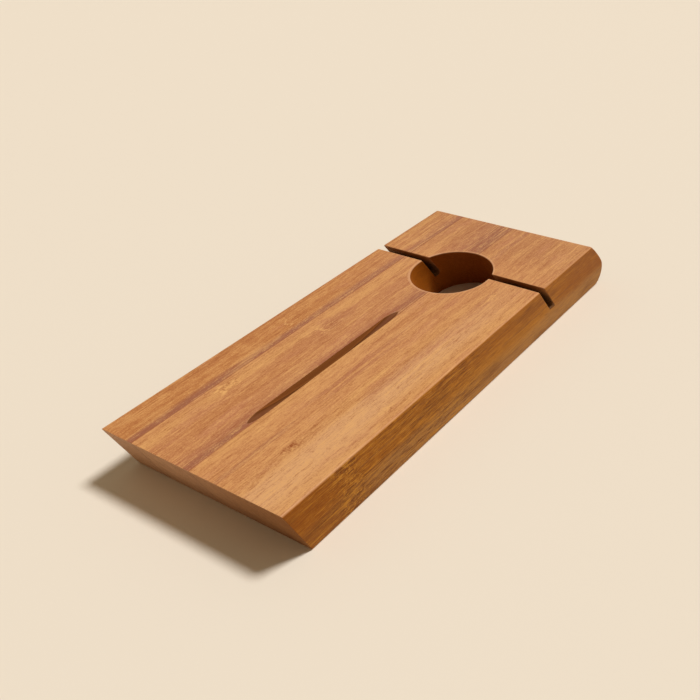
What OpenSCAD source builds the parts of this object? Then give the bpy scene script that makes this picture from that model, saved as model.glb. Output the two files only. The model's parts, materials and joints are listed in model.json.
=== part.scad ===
// Balancing wine bottle holder: one slanted-cut wooden board.
// The board lies on its underside here, foot end towards -Y and rounded end towards +Y.
// In use it stands on its foot bevel and leans back, and a bottle neck pushed into the
// bore from the top face balances it.

/* [Board] */
// Width of the board
board_w = 90; // [82:1:120]
// Thickness of the board
board_t = 25; // [21:0.5:32]
// Length over both ends
board_l = 250; // [200:1:300]
// Radius that eases the four long edges
edge_r = 1; // [0.4:0.1:2.5]

/* [Foot] */
// Slant of the foot bevel, which is how far the standing board leans
foot_angle = 28; // [15:1:38]

/* [Rounded end] */
// How far the rounded end reaches past the flat top
nose_reach = 15.5; // [13:0.5:20]
// Radius of the tip of the rounded end
nose_tip_r = 7.5; // [5:0.5:8]
// Radius of the crowned face above the tip
nose_face_r = 90; // [60:5:200]

/* [Neck bore] */
// Diameter of the bore for the bottle neck
bore_d = 37; // [34:0.5:42]
// Distance along the board from its rounded end to where the bore's axis meets the top
bore_back = 73; // [64:1:90]
// Slant of the bore, away from square to the top
bore_tilt = 34; // [20:1:38]

/* [Cross slot] */
// Width of the saw slot that crosses the bore
slot_w = 3.5; // [2.4:0.1:5]
// Distance along the top from the bore's axis to the middle of the slot
slot_ahead = 5; // [-4:0.5:12]
// Depth of the slot below the top
slot_depth = 14; // [8:0.5:16]
// Slant of the slot, away from square to the top
slot_tilt = 40; // [20:1:44]

/* [Groove] */
// Greatest width of the tapered groove
groove_w = 3.8; // [2:0.1:5.8]
// Depth of the groove at its middle
groove_depth = 5; // [3:0.5:9]
// Distance along the top from the foot edge to the groove's first tip
groove_start = 32; // [12:1:50]
// Distance along the top from the groove's other tip to the rim of the bore
groove_gap = 22; // [8:1:40]

/* [Hidden] */
$fn = 180;

wood = [0.78, 0.53, 0.31];
past = 5;           // how far a cutting tool runs past the wood
arc_step = 10;      // degrees between the points of the cutter's rim
small_fn = 48;      // facets around a small round
cutter_fn = 360;    // facets around the groove's wide cutter
tip_n = 44;         // steps around the tip
face_n = 12;        // steps along the crowned face
foot_y = -board_l / 2;
nose_y = board_l / 2;
top_end_y = nose_y - nose_reach;
bore_y = nose_y - bore_back;
slot_y = bore_y + slot_ahead;
foot_run = board_t * tan(foot_angle);
foot_past = past * tan(foot_angle);

// the tip circle touches the underside and the end plane
tip_c = [nose_y - nose_tip_r, nose_tip_r];
// the crowned face starts at the end of the flat top and runs smoothly into the tip circle
face_start = [top_end_y, board_t];
tip_gap = norm(tip_c - face_start);
tip_dir = (tip_c - face_start) / tip_gap;
face_along = (pow(nose_face_r, 2) - pow(nose_face_r - nose_tip_r, 2) + pow(tip_gap, 2))
    / (2 * tip_gap);
face_aside = sqrt(pow(nose_face_r, 2) - pow(face_along, 2));
face_c = face_start + face_along * tip_dir + face_aside * [tip_dir.y, -tip_dir.x];
start_a = bearing(face_start - face_c);
join_a = bearing(tip_c - face_c);

// a disc cutter with a round rim, sunk into the top so that the groove runs out at both ends
groove_from = foot_y + groove_start;
groove_to = bore_y - bore_d / 2 / cos(bore_tilt) - groove_gap;
groove_l = groove_to - groove_from;
cutter_r = (pow(groove_l / 2, 2) + pow(groove_depth, 2)) / (2 * groove_depth);
cutter_y = (groove_from + groove_to) / 2;
cutter_z = board_t + cutter_r - groove_depth;

slot_reach = (slot_depth - slot_w / 2) / cos(slot_tilt);

function bearing(v) = atan2(v.y, v.x);

// points along an arc, without its first one
function arc(middle, r, from, to, steps) =
    [for (i = [1:steps])
        let (a = from + (to - from) * i / steps) middle + r * [cos(a), sin(a)]];

// straight flanks that end in a half circle, tip towards +X
function rim(deep, wide) = concat(
    [[0, -wide / 2]],
    [for (a = [-90:arc_step:90]) [deep - wide / 2 * (1 - cos(a)), wide / 2 * sin(a)]],
    [[0, wide / 2]]
);

// the board's long section in Y and Z, with both ends shaped and room to spare above and below
function long_section() = concat(
    [
        [foot_y - foot_past, board_t + past], [foot_y + foot_run + foot_past, -past],
        [tip_c.x, -past], [tip_c.x, 0]
    ],
    arc(tip_c, nose_tip_r, -90, join_a, tip_n),
    arc(face_c, nose_face_r, join_a, start_a, face_n),
    [[top_end_y, board_t + past]]
);

module end_shaper() {
    rotate([90, 0, 90])
        linear_extrude(height = board_w + 2 * past, center = true)
            polygon(long_section());
}

// the sawn and eased plank before its ends are cut
module plank() {
    long = board_l + 2 * past;
    rotate([90, 0, 0]) {
        translate([-board_w / 2 + edge_r, 0, -long / 2])
            cube([board_w - 2 * edge_r, board_t, long]);
        translate([-board_w / 2, edge_r, -long / 2])
            cube([board_w, board_t - 2 * edge_r, long]);
        for (x = [-1, 1], z = [edge_r, board_t - edge_r])
            translate([x * (board_w / 2 - edge_r), z, 0])
                cylinder(h = long, r = edge_r, center = true, $fn = small_fn);
    }
}

module neck_bore() {
    long = 2 * (board_t / cos(bore_tilt) + bore_d);
    translate([0, bore_y, board_t]) rotate([bore_tilt, 0, 0])
        cylinder(h = long, d = bore_d, center = true);
}

module cross_slot() {
    wide = board_w + 2 * past;
    translate([0, slot_y, board_t]) rotate([slot_tilt, 0, 0]) {
        translate([-wide / 2, -slot_w / 2, -slot_reach])
            cube([wide, slot_w, slot_reach + slot_w + past]);
        translate([0, 0, -slot_reach]) rotate([0, 90, 0])
            cylinder(h = wide, d = slot_w, center = true, $fn = small_fn);
    }
}

module groove() {
    translate([0, cutter_y, cutter_z]) rotate([0, 90, 0])
        rotate_extrude($fn = cutter_fn)
            translate([cutter_r - groove_depth, 0])
                polygon(rim(groove_depth, groove_w));
}

module board() {
    color(wood) difference() {
        intersection() {
            plank();
            end_shaper();
        }
        neck_bore();
        cross_slot();
        groove();
    }
}

board();
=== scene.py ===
import json
import math

import bmesh
import bpy
from mathutils import Matrix, Vector


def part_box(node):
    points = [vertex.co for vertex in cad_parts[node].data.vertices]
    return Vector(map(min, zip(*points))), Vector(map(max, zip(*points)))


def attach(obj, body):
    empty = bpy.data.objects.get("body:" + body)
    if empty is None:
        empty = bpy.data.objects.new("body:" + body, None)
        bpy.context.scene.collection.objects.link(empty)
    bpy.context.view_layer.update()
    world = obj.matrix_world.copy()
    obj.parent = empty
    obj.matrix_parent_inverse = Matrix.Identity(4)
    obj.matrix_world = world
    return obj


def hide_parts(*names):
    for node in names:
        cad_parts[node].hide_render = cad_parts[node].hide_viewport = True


# A millimetre in metres. All sizes in this script are in millimetres.
MM = 0.001

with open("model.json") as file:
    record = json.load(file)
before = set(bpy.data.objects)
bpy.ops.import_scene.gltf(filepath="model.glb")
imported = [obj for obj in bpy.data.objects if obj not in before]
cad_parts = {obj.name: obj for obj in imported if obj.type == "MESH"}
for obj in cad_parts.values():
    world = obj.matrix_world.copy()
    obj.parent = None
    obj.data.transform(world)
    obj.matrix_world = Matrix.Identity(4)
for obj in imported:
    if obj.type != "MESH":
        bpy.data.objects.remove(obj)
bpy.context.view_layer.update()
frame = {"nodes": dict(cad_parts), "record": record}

board_low, board_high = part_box("board")
board_w = (board_high.x - board_low.x) / MM
board_t = (board_high.z - board_low.z) / MM
foot_edge = board_low.y / MM
mounts = {mount["name"]: mount for mount in frame["record"]["mounts"]}
bore_r = mounts["neck_bore"]["dims"]["r_mm"]
bore_at = Vector(mounts["neck_bore"]["pos_m"]) / MM
bore_axis = Vector(mounts["neck_bore"]["axis"]).normalized()
foot_at = Vector(mounts["foot_bevel"]["pos_m"]) / MM
foot_axis = Vector(mounts["foot_bevel"]["axis"]).normalized()

# Cuts, with the same sizes as in the part's source. No part of the slot is further than its
# span, along the board, from its middle at the top.
SLOT_Y = 57.0
SLOT_W = 3.5
SLOT_DEPTH = 14.0
SLOT_TILT = math.radians(40)
SLOT_SPAN = 20.0
GROOVE_FROM = -93.0
GROOVE_TO = 7.685
GROOVE_W = 3.8
GROOVE_DEPTH = 5.0

# How far each kind of edge is eased
LONG_EDGE = 1.0
FOOT_EDGE = 0.25
LIP_EDGE = 0.5

# Angles between faces from which an edge is eased, is a cut's lip, or is shaded sharp
EASED_FROM = math.radians(20)
LIP_FROM = math.radians(35)
SHARP_FROM = math.radians(40)

# Bends below these are dissolved: at a point of the outline, and between faces of the cut mesh
STRAIGHT_BELOW = math.radians(0.3)
FLAT_BELOW = math.radians(0.2)

# How much the uncut blank is longer at the foot, and how far a cutter runs past the wood
FOOT_SPARE = 20.0
CUT_SPARE = 10.0
BORE_CUTTER_L = 120.0
BORE_FACETS = 120
DISC_FACETS = 720

# Points closer than this become one: in the freshly cut mesh, and in any other
CUT_WELD = 0.001
WELD = 0.002

# The node ring across both sides and the busier grain beyond it, measured from the foot edge
NODE_FROM = 37.0
NODE_TO = 44.0
BUSY_FROM = 45.0
BUSY_TO = 105.0

# Camera, with its place, aim and upward direction in the board's frame
LENS = 48.86
SENSOR = 36.0
CAMERA_AT = (213.4, -292.4, 233.2)
CAMERA_AIM = (-0.5347, 0.6618, -0.5254)
CAMERA_UP = (-0.2794, 0.4483, 0.8491)

# Satin varnish: the share of its coat, how rough it is, the wood's own gloss and the relief
COAT = 0.2
COAT_ROUGH = 0.32
WOOD_ROUGH = 0.42
WOOD_GLOSS = 0.06
RELIEF = 0.12

# The key light's direction, colour, strength and spread, the glow all round, and the floor
KEY_FROM = (0.5, 0.55, 1.6)
KEY_COLOUR = (1.0, 0.98, 0.97)
KEY_STRENGTH = 2.75
KEY_SPREAD = math.radians(14)
GLOW_COLOUR = (1.0, 0.77, 0.5, 1.0)
GLOW_STRENGTH = 0.28
FLOOR_REACH = 6000.0


class Value:
    """A socket's value. Arithmetic on it adds Math nodes."""

    def __init__(self, paint, socket):
        self.paint = paint
        self.socket = socket

    def math(self, operation, *others):
        inputs = dict(enumerate((self,) + others))
        return self.paint.node("ShaderNodeMath", {"operation": operation}, inputs)

    def __add__(self, other):
        return self.math("ADD", other)

    __radd__ = __add__

    def __mul__(self, other):
        return self.math("MULTIPLY", other)

    __rmul__ = __mul__

    def __sub__(self, other):
        return self.math("SUBTRACT", other)

    def __rsub__(self, other):
        return (self * -1) + other

    def __truediv__(self, other):
        return self.math("DIVIDE", other)

    def __abs__(self):
        return self.math("ABSOLUTE")

    def past(self, limit):
        return self.math("GREATER_THAN", limit)

    def ramp(self, start, end):
        """0 at start, 1 at end and smooth between; start may be the larger one."""
        low, high = sorted((start, end))
        up = self.paint.node(
            "ShaderNodeMapRange",
            {"interpolation_type": "SMOOTHSTEP"},
            {"Value": self, "From Min": low, "From Max": high},
        )
        return up if start < end else 1 - up


class Paint:
    """The node tree of a material or a world, with the calls that build it."""

    def __init__(self, owner):
        self.owner = owner
        owner.use_nodes = True
        self.tree = owner.node_tree
        self.tree.nodes.clear()

    def node(self, kind, settings, inputs, output=0):
        made = self.tree.nodes.new(kind)
        for key, value in settings.items():
            if key == "stops":
                self.set_stops(made.color_ramp, value)
            else:
                setattr(made, key, value)
        for key, value in inputs.items():
            if isinstance(value, Value):
                self.tree.links.new(value.socket, made.inputs[key])
            else:
                made.inputs[key].default_value = value
        if not made.outputs:
            return None
        return Value(self, made.outputs[output])

    @staticmethod
    def set_stops(ramp, stops):
        while len(ramp.elements) < len(stops):
            ramp.elements.new(1.0)
        for element, (place, colour) in zip(ramp.elements, stops):
            element.position = place
            element.color = colour

    def parts(self, vector):
        split = self.node("ShaderNodeSeparateXYZ", {}, {"Vector": vector})
        outputs = split.socket.node.outputs
        return [Value(self, outputs[axis]) for axis in "XYZ"]

    def place(self):
        """Object coordinates in millimetres."""
        spot = self.node("ShaderNodeTexCoord", {}, {}, "Object")
        return self.vector_math("SCALE", spot, Scale=1 / MM)

    def facing(self):
        """Which way the surface faces, in the piece's own frame."""
        return self.node("ShaderNodeTexCoord", {}, {}, "Normal")

    def vector_math(self, operation, *vectors, output=0, **inputs):
        inputs.update(enumerate(vectors))
        return self.node("ShaderNodeVectorMath", {"operation": operation}, inputs, output)

    def noise(self, x, y, z, detail=2.0, rough=0.5):
        """A noise around 0, about half of it within 0.07; its scale is in x, y and z."""
        spot = self.node("ShaderNodeCombineXYZ", {}, {"X": x, "Y": y, "Z": z})
        return self.node(
            "ShaderNodeTexNoise",
            {"noise_dimensions": "3D"},
            {"Vector": spot, "Scale": 1.0, "Detail": detail, "Roughness": rough},
        ) - 0.5

    def mix(self, share, first, second):
        return self.node(
            "ShaderNodeMix",
            {"data_type": "RGBA", "clamp_factor": True},
            {0: share, 6: first, 7: second},
            2,
        )

    def shade(self, colour, strength):
        if not isinstance(colour, Value):
            colour = colour[:3]
        return self.vector_math("SCALE", colour, Scale=strength)

    def tones(self, value, low, high, stops):
        """A colour that runs through the stops' tones as the value goes from low to high."""
        stops = [((at - low) / (high - low), tone) for at, tone in stops]
        share = (value - low) / (high - low)
        return self.node("ShaderNodeValToRGB", {"stops": stops}, {"Fac": share})

    def surface(self, inputs):
        skin = self.node("ShaderNodeBsdfPrincipled", {}, inputs)
        self.node("ShaderNodeOutputMaterial", {}, {"Surface": skin})
        return self.owner


def srgb(red, green, blue):
    """A colour given as the eye reads it, 0 to 255, as the shader wants it."""
    def linear(c):
        c = c / 255
        return c / 12.92 if c <= 0.04045 else ((c + 0.055) / 1.055) ** 2.4
    return (linear(red), linear(green), linear(blue), 1.0)


# Tones of the steamed and oiled staves
HONEY = srgb(203, 148, 92)
GOLD = srgb(194, 136, 87)
AMBER = srgb(187, 128, 82)
TOFFEE = srgb(182, 120, 68)
PALE = srgb(208, 158, 111)
ROSE = srgb(175, 116, 81)
SEAM = srgb(152, 97, 73)
BARK = srgb(146, 80, 38)
UMBER = srgb(112, 64, 34)
CREAM = srgb(224, 172, 108)
# Tones of the long sides, darker than the top's: partly the wood's own tone, partly painted shade
SIDE_GOLD = srgb(161, 96, 12)
SIDE_TAN = srgb(164, 115, 60)
SIDE_DEEP = srgb(144, 78, 2)
SIDE_LIGHT = srgb(194, 132, 42)
SIDE_DARK = srgb(110, 58, 8)
# End grain tones; their change from paler left to browner right is painted light
END_PALE = srgb(188, 146, 113)
END_BROWN = srgb(124, 77, 40)
CUT_BROWN = srgb(142, 76, 16)
# Painted shade in the groove: lighter on its wall that faces +x, darker elsewhere in it
GROOVE_SHADE_WALL = srgb(182, 112, 58)
GROOVE_SHADE_FLOOR = srgb(108, 62, 32)
# Painted shade in the slot
SLOT_SHADE_BROWN = srgb(150, 100, 56)
# Pink of the painted highlights on the eased long edges and on the bore's rim
PAINTED_HIGHLIGHT_PINK = srgb(212, 162, 120)
BLUSH = srgb(186, 124, 92)
STRAW = srgb(222, 170, 108)

# Tones of the studio
FLOOR_CREAM = srgb(230, 222, 207)
WALL_CREAM = srgb(232, 215, 192)

# Where the tones lie across the staves, in millimetres from the middle. The right edge of
# each glue line is sharp, and its left side fades into the stave.
SEAM_LEFT = -28.0
SEAM_MIDDLE = 1.8
NEAR_TONES = [
    (-45.0, TOFFEE), (-32.5, TOFFEE), (-30.0, SEAM), (SEAM_LEFT, SEAM),
    (SEAM_LEFT + 0.3, GOLD), (-22.5, HONEY), (-20.0, AMBER), (-8.0, AMBER),
    (-3.5, ROSE), (0.0, SEAM), (SEAM_MIDDLE - 0.1, SEAM), (SEAM_MIDDLE + 0.2, HONEY), (6.0, GOLD),
    (10.0, GOLD), (20.0, GOLD), (26.0, HONEY), (29.0, PALE),
    (36.0, PALE), (42.0, HONEY), (45.0, GOLD),
]
FAR_TONES = [
    (-45.0, TOFFEE), (-34.0, AMBER), (-30.5, ROSE), (SEAM_LEFT, SEAM),
    (SEAM_LEFT + 0.3, GOLD), (-18.0, AMBER), (-9.0, ROSE), (-2.0, SEAM),
    (SEAM_MIDDLE - 0.1, SEAM), (SEAM_MIDDLE + 0.2, AMBER), (8.0, AMBER), (10.5, ROSE),
    (13.0, AMBER), (30.0, AMBER), (36.0, GOLD), (45.0, AMBER),
]

# Streaks in the top: left, right, near and far limit, tone and strength.
# Near and far are measured from the foot edge.
STREAKS = [
    (26.0, 44.5, -10, 48, PALE, 0.35), (26.5, 30.0, 72, 168, ROSE, 0.5),
    (11.0, 12.5, 58, 126, ROSE, 0.6), (14.0, 15.6, 66, 110, ROSE, 0.55),
    (13.4, 15.2, -5, 36, SEAM, 0.45), (22.3, 23.6, 68, 92, CREAM, 0.5),
    (32.0, 33.2, 86, 122, CREAM, 0.4), (35.0, 36.0, 92, 118, CREAM, 0.35),
    (-21.8, -16.0, 103, 117, ROSE, 0.5), (-16.0, -12.0, 20, 75, TOFFEE, 0.3),
    (-26.5, -22.0, 120, 170, HONEY, 0.5), (2.0, 5.5, 20, 120, HONEY, 0.4),
    (6.5, 9.0, 120, 170, TOFFEE, 0.3), (-43.0, -37.0, 20, 35, TOFFEE, 0.4),
    (-30.6, -28.2, 150, 245, SEAM, 0.5), (-3.2, 1.6, 180, 245, SEAM, 0.5),
]

# Dark lines in the long sides: low, high, near and far limit, and strength
SIDE_LINES = [
    (16.6, 17.3, 44, 64, 0.45), (8.9, 9.3, 50, 90, 0.4), (10.3, 10.6, 56, 84, 0.35),
    (20.4, 20.8, 60, 150, 0.3), (5.6, 6.0, 90, 170, 0.25), (13.6, 14.1, 150, 215, 0.3),
]

# Knots: across, along from the foot edge, half width, half length, strength, and how much
# of a pale crescent lies on the foot side
KNOTS = [
    (-23.6, 48.0, 3.4, 8.5, 1.0, 0.8), (23.6, 31.0, 2.6, 8.0, 1.0, 0.0),
    (39.0, 68.0, 3.0, 6.0, 0.6, 0.0), (29.0, 165.0, 2.4, 8.0, 0.7, 0.0),
    (-19.0, 107.0, 3.4, 8.0, 0.5, 0.6), (-35.5, 103.0, 2.8, 7.0, 0.4, 0.5),
]


def within(value, low, high, soft):
    """1 inside the limits, fading over soft outside them."""
    return value.ramp(low - soft, low) * value.ramp(high + soft, high)


def knot_masks(paint, across, along):
    """For each knot: how near its heart is, the offset across from it, and its crescent."""
    found = []
    crook = paint.noise(across * 0.6, along * 0.1, 13.0, 1.0) * 1.4
    for x, y, half_w, half_l, strength, pale in KNOTS:
        aside = across - x
        ahead = (along - foot_edge - y) / half_l
        aside_share = aside * aside / half_w ** 2
        reach = aside_share + ahead * ahead
        arch = within(ahead + crook - aside_share * 0.1, -0.72, -0.58, 0.14)
        crescent = arch * aside_share.ramp(1.3, 0.4) * pale
        found.append((reach.ramp(1.0, 0.0) * strength, aside, crescent))
    return found


def stave_colour(paint, across, along):
    """The glued staves: tones by band, single streaks, and a darker rounded end."""
    free = abs(across - SEAM_LEFT).ramp(0.5, 5.0) * abs(across - SEAM_MIDDLE).ramp(0.5, 5.0)
    sway = paint.noise(across * 0.02, along * 0.012, 0.0) * 5
    sway = sway + paint.noise(across * 0.3, along * 0.03, 0.0) * 2
    band = across + sway * free
    near = paint.tones(band, -board_w / 2, board_w / 2, NEAR_TONES)
    far = paint.tones(band, -board_w / 2, board_w / 2, FAR_TONES)
    colour = paint.mix(along.ramp(-20.0, 80.0), near, far)
    colour = paint.shade(colour, 1 - along.ramp(60.0, 90.0) * 0.09)
    blush = paint.noise(across * 0.14, along * 0.025, 21.0, 3.0, 0.6)
    colour = paint.mix(blush.ramp(0.03, 0.18) * 0.4, colour, BLUSH)
    colour = paint.mix(blush.ramp(-0.03, -0.18) * 0.3, colour, STRAW)
    wander = across + paint.noise(across * 0.1, along * 0.05, 3.0) * 2.5
    fray = along - foot_edge + paint.noise(across * 1.2, along * 0.02, 7.0) * 40
    for left, right, start, end, tone, share in STREAKS:
        soft = (right - left) * 0.5
        mask = within(wander, left + soft * 0.3, right - soft * 0.3, soft)
        mask = mask * within(fray, start, end, 9)
        colour = paint.mix(mask * share, colour, tone)
    return colour


def side_colour(paint, across, along, up):
    """The long sides: browner above and paler below, and deeper towards both ends. Their tones are
    darker than the top's, partly the wood's own tone and partly painted shade.
    """
    line = up + paint.noise(along * 0.02, up * 0.05, 11.0) * 8
    colour = paint.mix(line.ramp(8.0, 13.0), SIDE_TAN, SIDE_GOLD)
    colour = paint.mix(along.ramp(-60.0, -105.0) * 0.8, colour, SIDE_DEEP)
    colour = paint.shade(colour, 1 - along.ramp(-70.0, -105.0) * line.ramp(12.0, 6.0) * 0.12)
    colour = paint.mix(along.ramp(65.0, 95.0) * line.ramp(6.0, 14.0) * 0.6, colour, SIDE_DEEP)
    glow = within(along, -35.0, 55.0, 30.0) * within(line, 9.0, 14.0, 4.0)
    colour = paint.mix(glow * 0.3, colour, SIDE_LIGHT)
    shade = paint.noise(along * 0.03, up * 0.16, across * 0.01, 2.0)
    colour = paint.mix(shade.ramp(0.0, 0.25) * 0.5, colour, SIDE_DARK)
    wander = up + paint.noise(along * 0.06, up * 0.1, 5.0) * 2
    fray = along - foot_edge + paint.noise(along * 0.05, up * 1.2, 9.0) * 30
    for low, high, start, end, share in SIDE_LINES:
        mask = within(wander, low, high, 0.35) * within(fray, start, end, 6)
        colour = paint.mix(mask * share, colour, UMBER)
    return colour


def end_colour(paint, across, up, stave, grain):
    """End grain: rings that stand across the board, from the paler left to the browner right. The
    paler left is painted light, as if the end faces were lit more there.
    """
    rings = paint.noise(across * 0.9 + up * 0.3, stave * 7, up * 0.08, 3.0, 0.6)
    # Painted light: the end faces paler at the left, as if lit more there
    colour = paint.mix(across.ramp(-20, 50), END_PALE, END_BROWN)
    colour = paint.mix(rings.ramp(0.0, 0.2) * 0.35, colour, UMBER)
    colour = paint.mix(rings.ramp(-0.06, -0.2) * 0.35, colour, END_PALE)
    return paint.shade(colour, 1 + grain * 0.5)


def cut_masks(paint, spot, across, along, up):
    """Where the bore's wall, the bore's rim for a painted highlight, the slot's walls and the
    groove's walls are.
    """
    arm = paint.vector_math("SUBTRACT", spot, tuple(bore_at))
    arm = paint.vector_math("CROSS_PRODUCT", arm, tuple(bore_axis))
    radius = paint.vector_math("LENGTH", arm, output="Value")
    bore = radius.ramp(bore_r + 0.5, bore_r + 0.1) * up.ramp(board_t, board_t - 0.5)
    # The band round the bore's rim that gets a painted highlight
    lip_highlight = within(radius, bore_r - 0.5, bore_r + 0.8, 0.3) * up.ramp(board_t - 0.8, board_t - 0.3)
    aside = (along - SLOT_Y) * math.cos(SLOT_TILT) + (up - board_t) * math.sin(SLOT_TILT)
    slot = abs(aside).ramp(SLOT_W / 2 + 0.3, SLOT_W / 2 + 0.1)
    slot = slot * up.ramp(board_t - 0.1, board_t - 1.2) * up.past(board_t - SLOT_DEPTH - 0.6)
    groove = abs(across).ramp(GROOVE_W / 2 + 0.1, GROOVE_W / 2 + 0.02)
    groove = groove * up.ramp(board_t - 0.02, board_t - 0.25)
    groove = groove * up.past(board_t - GROOVE_DEPTH - 0.5)
    groove = groove * along.past(GROOVE_FROM - 1) * (1 - along.past(GROOVE_TO + 1))
    return bore, lip_highlight * (1 - slot), slot * (1 - bore), groove


def around_knots(paint, across, along, up, length, side, face_z):
    """The grain's lines bent round the knots, how near a knot or node is, and the crescents."""
    bent = across + paint.noise(across * 0.05, length * 0.02, up * 0.05) * 3
    heart = 0.0
    crescents = 0.0
    for near, aside, crescent in knot_masks(paint, across, along):
        near = near * face_z.ramp(0.5, 0.9)
        bent = bent - aside * near * 0.7
        heart = near + heart
        crescents = crescent + crescents
    ring_at = along - foot_edge + up * 0.3
    ring_at = ring_at + paint.noise(up * 0.4, along * 0.2, across * 0.1) * 14
    heart = heart + within(ring_at, NODE_FROM, NODE_TO, 6) * side * 1.2
    return bent, heart, crescents


def cut_colour(paint, colour, grain, up, face_x, bore, slot, groove):
    """Browner walls in the bore, and painted shade in the groove and the slot: in the groove
    lighter on its wall that faces +x, in the slot darker with depth.
    """
    colour = paint.mix(bore * 0.9, colour, paint.shade(CUT_BROWN, 1 + grain * 0.5))
    # Painted shade: the groove dark, lighter only on its wall that faces +x
    wall = face_x.ramp(0.93, 1.0)
    colour = paint.mix(groove * 0.9, colour, paint.mix(wall, GROOVE_SHADE_FLOOR, GROOVE_SHADE_WALL))
    # Painted shade: the slot's walls darker with depth
    depth_shade = up.ramp(board_t - 2, board_t - 9)
    slot_shade = paint.shade(SLOT_SHADE_BROWN, (1 + grain) * (1 - depth_shade * 0.6))
    return paint.mix(slot * 0.95, colour, slot_shade)


def wood():
    """Oiled staves under a thin satin varnish, with end grain and darker cuts."""
    paint = Paint(bpy.data.materials.new("oiled_stave_wood"))
    spot = paint.place()
    across, along, up = paint.parts(spot)
    face_x, face_y, face_z = paint.parts(paint.facing())
    side = abs(face_x).ramp(0.5, 0.95)
    end = abs(face_y).ramp(0.5, 0.8)
    bore, lip_highlight, slot, groove = cut_masks(paint, spot, across, along, up)
    # Painted highlight: a pale pink line along the eased long edges, top and bottom
    rim = abs(up - board_t / 2).ramp(board_t / 2 - 0.9, board_t / 2 - 0.3)
    rim = rim * within(abs(face_z), 0.3, 0.88, 0.1) * (1 - groove)

    colour = stave_colour(paint, across, along)
    colour = paint.mix(side, colour, side_colour(paint, across, along, up))

    stave = across.past(SEAM_LEFT) + across.past(SEAM_MIDDLE)
    length = along + stave * 170
    bent, heart, crescents = around_knots(paint, across, along, up, length, side, face_z)
    broad = paint.noise(bent * 0.25, length * 0.010, up * 0.25, 3.0)
    streaks = paint.noise(bent * 0.9, length * 0.03, up * 0.9, 4.0, 0.65)
    mottle = paint.noise(bent * 0.5 + length * 0.06, length * 0.09, up * 0.5, 3.0, 0.6)
    fibres = paint.noise(bent * 2.8, length * 0.16, up * 2.8, 2.0, 0.6)
    specks = paint.noise(bent * 2.5, length * 1.5, up * 2.5, 1.0)
    patches = (mottle * 0.45 + specks * 0.8) * (1 - side * 0.5)
    granules = paint.noise(across * 0.7, length * 0.5, up * 0.7, 3.0, 0.7)
    lines = paint.noise(bent * 1.5, length * 0.02, up * 1.5, 2.0)
    grain = broad * 0.5 + streaks * (0.85 - side * 0.25) + fibres * (1.3 + side * 0.4) + patches
    busy = within(along - foot_edge, BUSY_FROM, BUSY_TO, 45.0)
    grain = grain * (1 + side * (busy * 0.9 - 0.3) + heart * 0.8)
    light = paint.mix(side, CREAM, SIDE_LIGHT)
    dark = paint.mix(side, BARK, SIDE_DARK)
    clear = side * (busy * 0.5 - 0.1)
    colour = paint.mix(lines.ramp(0.06, 0.2) * (0.4 + clear), colour, light)
    colour = paint.mix(lines.ramp(-0.1, -0.25) * (0.3 + clear), colour, dark)
    colour = paint.mix(grain * 1.5, colour, light)
    colour = paint.mix(grain * -1.5, colour, dark)

    crescents = crescents * face_z.ramp(0.5, 0.9) * granules.ramp(0.15, 0.0)
    colour = paint.mix(crescents, colour, CREAM)
    open_grain = paint.noise(across * 0.3, length * 0.05, up * 0.3)
    pores = fibres.ramp(0.12, 0.24) * open_grain.ramp(-0.05, 0.15)
    colour = paint.mix(pores * (0.25 + side * busy * 0.5), colour, UMBER)
    colour = paint.mix(heart * granules.ramp(0.0, 0.15) * 0.5, colour, dark)
    colour = paint.mix(heart * granules.ramp(-0.02, -0.15) * 0.6, colour, light)

    end_grain = end_colour(paint, across, up, stave, grain)
    colour = paint.mix(end * (1 - bore) * 0.85, colour, end_grain)
    glue = within(across, SEAM_LEFT - 0.15, SEAM_LEFT + 0.1, 0.2)
    glue = glue + within(across, SEAM_MIDDLE - 0.15, SEAM_MIDDLE + 0.05, 0.2)
    colour = paint.mix(glue * (0.5 + streaks), colour, paint.mix(end, BARK, UMBER))
    colour = cut_colour(paint, colour, grain, up, face_x, bore, slot, groove)
    # Painted highlight on the eased long edges
    colour = paint.mix(rim * 0.4, colour, PAINTED_HIGHLIGHT_PINK)
    # Painted highlight on the bore's rim
    colour = paint.mix(lip_highlight * 0.5, colour, PAINTED_HIGHLIGHT_PINK)

    height = grain * 0.5 - pores
    bump = paint.node(
        "ShaderNodeBump", {}, {"Strength": 0.3, "Distance": RELIEF * MM, "Height": height}
    )
    rough = WOOD_ROUGH + pores * 0.15 + streaks * 0.15 + (slot + bore + groove + end) * 0.2
    return paint.surface({
        "Base Color": colour,
        "Roughness": rough,
        "Normal": bump,
        "Coat Weight": face_z.ramp(0.5, 0.95) * (1 - groove) * COAT,
        "Coat Roughness": COAT_ROUGH,
        "Specular IOR Level": WOOD_GLOSS,
    })


def whole(shape):
    return shape.verts[:] + shape.edges[:] + shape.faces[:]


def settle_order(shape):
    """Sort a cut mesh by place, because the cutting gives its parts in any order."""
    for number, vert in enumerate(sorted(shape.verts, key=lambda v: v.co[:])):
        vert.index = number
    shape.verts.sort()
    for items in (shape.edges, shape.faces):
        ranked = sorted(items, key=lambda item: sorted(v.index for v in item.verts))
        for number, item in enumerate(ranked):
            item.index = number
        items.sort()


def as_piece(shape, name):
    """An object in the scene that holds the finished shape."""
    mesh = bpy.data.meshes.new(name)
    shape.to_mesh(mesh)
    shape.free()
    piece = bpy.data.objects.new(name, mesh)
    bpy.context.scene.collection.objects.link(piece)
    return piece


def ease(shape, edges, reach, segments):
    """Round the edges over, as sanding does."""
    bmesh.ops.bevel(
        shape, geom=edges, offset=reach * MM, offset_type="OFFSET", affect="EDGES",
        segments=segments, profile=0.5, material=-1, clamp_overlap=False,
    )


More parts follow.
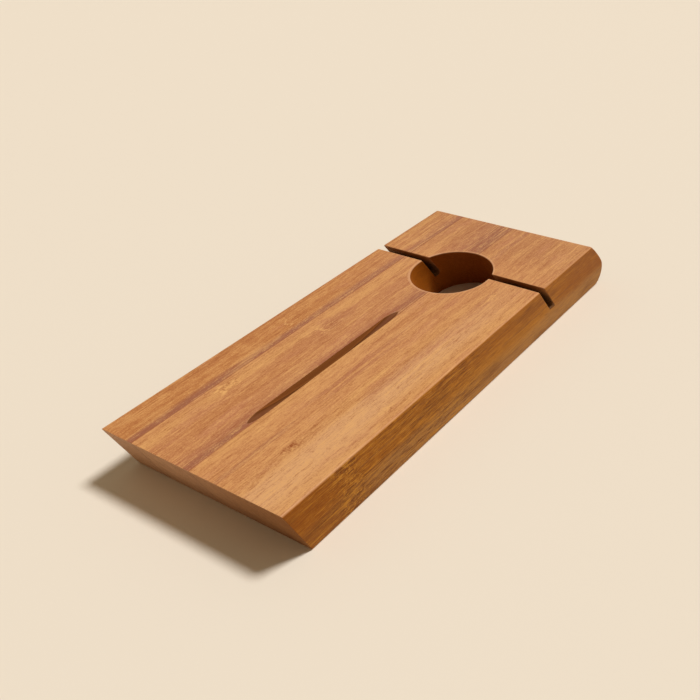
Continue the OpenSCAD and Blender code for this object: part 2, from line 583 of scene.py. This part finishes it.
def board_outline():
    """The board's long outline as a face at its left side, longer at the foot end."""
    shape = bmesh.new()
    shape.from_mesh(frame["nodes"]["board"].data)
    bmesh.ops.remove_doubles(shape, verts=shape.verts, dist=WELD * MM)
    beside_bore = board_w * 0.45
    bmesh.ops.bisect_plane(
        shape, geom=whole(shape), plane_co=(beside_bore * MM, 0, 0), plane_no=(1, 0, 0),
        clear_inner=True, clear_outer=True,
    )
    notch = [
        v for v in shape.verts
        if abs(v.co.y / MM - SLOT_Y) < SLOT_SPAN and 0.01 < v.co.z / MM < board_t - 0.01
    ]
    bmesh.ops.delete(shape, geom=notch, context="VERTS")
    shape.edges.new([v for v in shape.verts if len(v.link_edges) == 1])
    straight = [v for v in shape.verts if v.calc_edge_angle() < STRAIGHT_BELOW]
    bmesh.ops.dissolve_verts(shape, verts=straight)
    foot = [v for v in shape.verts if v.co.y / MM < foot_edge + board_t]
    bmesh.ops.translate(shape, verts=foot, vec=(0, -FOOT_SPARE * MM, 0))
    bmesh.ops.translate(shape, verts=shape.verts, vec=(-(board_w / 2 + beside_bore) * MM, 0, 0))
    bmesh.ops.edgeloop_fill(shape, edges=shape.edges)
    return shape


def eased_blank():
    """The plank with eased edges all round, then sawn off at the slanted foot."""
    shape = board_outline()
    grown = bmesh.ops.extrude_face_region(shape, geom=shape.faces[:])
    right = [v for v in grown["geom"] if isinstance(v, bmesh.types.BMVert)]
    bmesh.ops.translate(shape, verts=right, vec=(board_w * MM, 0, 0))
    bmesh.ops.recalc_face_normals(shape, faces=shape.faces)
    sharp = [e for e in shape.edges if e.calc_face_angle() > EASED_FROM]
    ease(shape, sharp, LONG_EDGE, 5)
    bmesh.ops.bisect_plane(
        shape, geom=whole(shape), plane_co=foot_at * MM, plane_no=foot_axis, clear_outer=True
    )
    rim = [e for e in shape.edges if e.is_boundary]
    bmesh.ops.edgeloop_fill(shape, edges=rim)
    ease(shape, rim, FOOT_EDGE, 2)
    return as_piece(shape, "eased_board")


def bore_cutter():
    """A round rod along the axis of the neck bore."""
    shape = bmesh.new()
    turn = Vector((0, 0, 1)).rotation_difference(bore_axis).to_matrix().to_4x4()
    bmesh.ops.create_cone(
        shape, cap_ends=True, segments=BORE_FACETS, radius1=bore_r, radius2=bore_r,
        depth=BORE_CUTTER_L,
        matrix=Matrix.Scale(MM, 4) @ Matrix.Translation(bore_at) @ turn,
    )
    return as_piece(shape, "bore_cutter")


def slot_cutter():
    """A tilted blade with a round lower edge, wider than the board."""
    shape = bmesh.new()
    reach = (SLOT_DEPTH - SLOT_W / 2) / math.cos(SLOT_TILT) + SLOT_W / 2
    size = Vector((board_w + CUT_SPARE, SLOT_W, reach + CUT_SPARE, 1))
    lift = Matrix.Translation((0, 0, size.z / 2 - reach))
    bmesh.ops.create_cube(shape, size=1.0, matrix=lift @ Matrix.Diagonal(size))
    lower = [
        e for e in shape.edges
        if max(v.co.z for v in e.verts) < 0 and abs(e.verts[0].co.x - e.verts[1].co.x) > 1
    ]
    bmesh.ops.bevel(
        shape, geom=lower, offset=SLOT_W / 2 * 0.999, offset_type="OFFSET", affect="EDGES",
        segments=8, profile=0.5, material=-1,
    )
    place = Matrix.Translation((0, SLOT_Y, board_t)) @ Matrix.Rotation(SLOT_TILT, 4, "X")
    bmesh.ops.transform(shape, verts=shape.verts, matrix=Matrix.Scale(MM, 4) @ place)
    return as_piece(shape, "slot_cutter")


def groove_cutter():
    """The lower part of a wide disc with a round rim, sunk into the top."""
    shape = bmesh.new()
    half = (GROOVE_TO - GROOVE_FROM) / 2
    disc_r = (half ** 2 + GROOVE_DEPTH ** 2) / (2 * GROOVE_DEPTH)
    bmesh.ops.create_cone(
        shape, cap_ends=True, segments=DISC_FACETS, radius1=disc_r, radius2=disc_r, depth=GROOVE_W,
        matrix=Matrix.Rotation(math.radians(90), 4, "Y"),
    )
    rims = [e for e in shape.edges if abs(e.verts[0].co.x - e.verts[1].co.x) < 0.001]
    bmesh.ops.bevel(
        shape, geom=rims, offset=GROOVE_W / 2 * 0.999, offset_type="OFFSET", affect="EDGES",
        segments=6, profile=0.5, material=-1,
    )
    place = Matrix.Translation((0, (GROOVE_FROM + GROOVE_TO) / 2, board_t + disc_r - GROOVE_DEPTH))
    bmesh.ops.transform(shape, verts=shape.verts, matrix=Matrix.Scale(MM, 4) @ place)
    bmesh.ops.bisect_plane(
        shape, geom=whole(shape), plane_co=(0, 0, (board_t + 2) * MM), plane_no=(0, 0, 1),
        clear_outer=True,
    )
    bmesh.ops.edgeloop_fill(shape, edges=[e for e in shape.edges if e.is_boundary])
    return as_piece(shape, "groove_cutter")


def is_groove_lip(edge):
    """An edge where the groove meets the top. It stays crisp and isn't eased."""
    return all(
        abs(v.co.x / MM) < GROOVE_W and GROOVE_FROM - 1 < v.co.y / MM < GROOVE_TO + 1
        and v.co.z / MM > board_t - 0.01 for v in edge.verts
    )


def is_lip(edge):
    """A sharp edge of the bore or the slot. The groove's lips and the foot stay as they are."""
    middle = (edge.verts[0].co + edge.verts[1].co) / 2 / MM
    in_groove = abs(middle.x) < GROOVE_W and middle.y < GROOVE_TO + 1 and middle.z > board_t / 2
    return edge.calc_face_angle() > LIP_FROM and middle.y > 0 and not in_groove


def cut_board():
    """The eased blank with its bore, slot and groove cut, and the cuts' lips eased."""
    board = eased_blank()
    cutters = [bore_cutter(), slot_cutter(), groove_cutter()]
    for cutter in cutters:
        cut = board.modifiers.new(cutter.name, "BOOLEAN")
        cut.operation = "DIFFERENCE"
        cut.solver = "EXACT"
        cut.object = cutter
    shape = bmesh.new()
    shape.from_object(board, bpy.context.evaluated_depsgraph_get())
    settle_order(shape)
    board.modifiers.clear()
    for cutter in cutters:
        bpy.data.objects.remove(cutter)
    bmesh.ops.remove_doubles(shape, verts=shape.verts, dist=CUT_WELD * MM)
    bmesh.ops.dissolve_limit(
        shape, angle_limit=FLAT_BELOW, verts=shape.verts, edges=shape.edges
    )
    ease(shape, [e for e in shape.edges if is_lip(e)], LIP_EDGE, 3)
    for vert in shape.verts:
        for axis in range(3):
            vert.co[axis] = min(max(vert.co[axis], board_low[axis]), board_high[axis])
    bmesh.ops.remove_doubles(shape, verts=shape.verts, dist=WELD * MM)
    settle_order(shape)
    for face in shape.faces:
        face.smooth = True
    for edge in shape.edges:
        edge.smooth = edge.calc_face_angle() < SHARP_FROM and not is_groove_lip(edge)
    shape.to_mesh(board.data)
    shape.free()
    weigh = board.modifiers.new("even_shading", "WEIGHTED_NORMAL")
    weigh.keep_sharp = True
    return board


def add_floor():
    shape = bmesh.new()
    bmesh.ops.create_grid(shape, x_segments=1, y_segments=1, size=FLOOR_REACH * MM)
    floor = as_piece(shape, "floor")
    paint = Paint(bpy.data.materials.new("pale_floor"))
    floor.data.materials.append(paint.surface({"Base Color": FLOOR_CREAM, "Roughness": 0.9}))


def add_camera():
    lens = bpy.data.cameras.new("camera")
    lens.lens = LENS
    lens.sensor_width = SENSOR
    lens.clip_start = 0.01
    camera = bpy.data.objects.new("camera", lens)
    bpy.context.scene.collection.objects.link(camera)
    place = Vector(CAMERA_AT) * MM
    forward = Vector(CAMERA_AIM).normalized()
    up = Vector(CAMERA_UP)
    right = forward.cross(up).normalized()
    up = right.cross(forward)
    turn = Matrix((right, up, -forward)).transposed().to_4x4()
    camera.matrix_world = Matrix.Translation(place) @ turn
    bpy.context.scene.camera = camera


def add_light():
    sun = bpy.data.lights.new("key", "SUN")
    sun.energy = KEY_STRENGTH
    sun.angle = KEY_SPREAD
    sun.color = KEY_COLOUR
    key = bpy.data.objects.new("key", sun)
    bpy.context.scene.collection.objects.link(key)
    key.rotation_euler = (-Vector(KEY_FROM)).to_track_quat("-Z", "Y").to_euler()


def add_room():
    """Warm light from all round, and a pale wall that is seen and mirrored past the floor."""
    paint = Paint(bpy.data.worlds.new("studio"))
    glow = paint.node(
        "ShaderNodeBackground", {}, {"Color": GLOW_COLOUR, "Strength": GLOW_STRENGTH}
    )
    wall = paint.node("ShaderNodeBackground", {}, {"Color": WALL_CREAM, "Strength": 1.0})
    seen = paint.node("ShaderNodeLightPath", {}, {}, "Is Camera Ray")
    mirrored = paint.node("ShaderNodeLightPath", {}, {}, "Is Glossy Ray")
    through = paint.node("ShaderNodeLightPath", {}, {}, "Is Transmission Ray")
    light = paint.node(
        "ShaderNodeMixShader", {}, {0: seen + mirrored + through, 1: glow, 2: wall}
    )
    paint.node("ShaderNodeOutputWorld", {}, {"Surface": light})
    bpy.context.scene.world = paint.owner


bpy.context.scene.view_settings.view_transform = "Standard"
add_camera()
add_floor()
add_light()
add_room()

board = cut_board()
board.data.materials.append(wood())
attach(board, "root")
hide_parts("board")
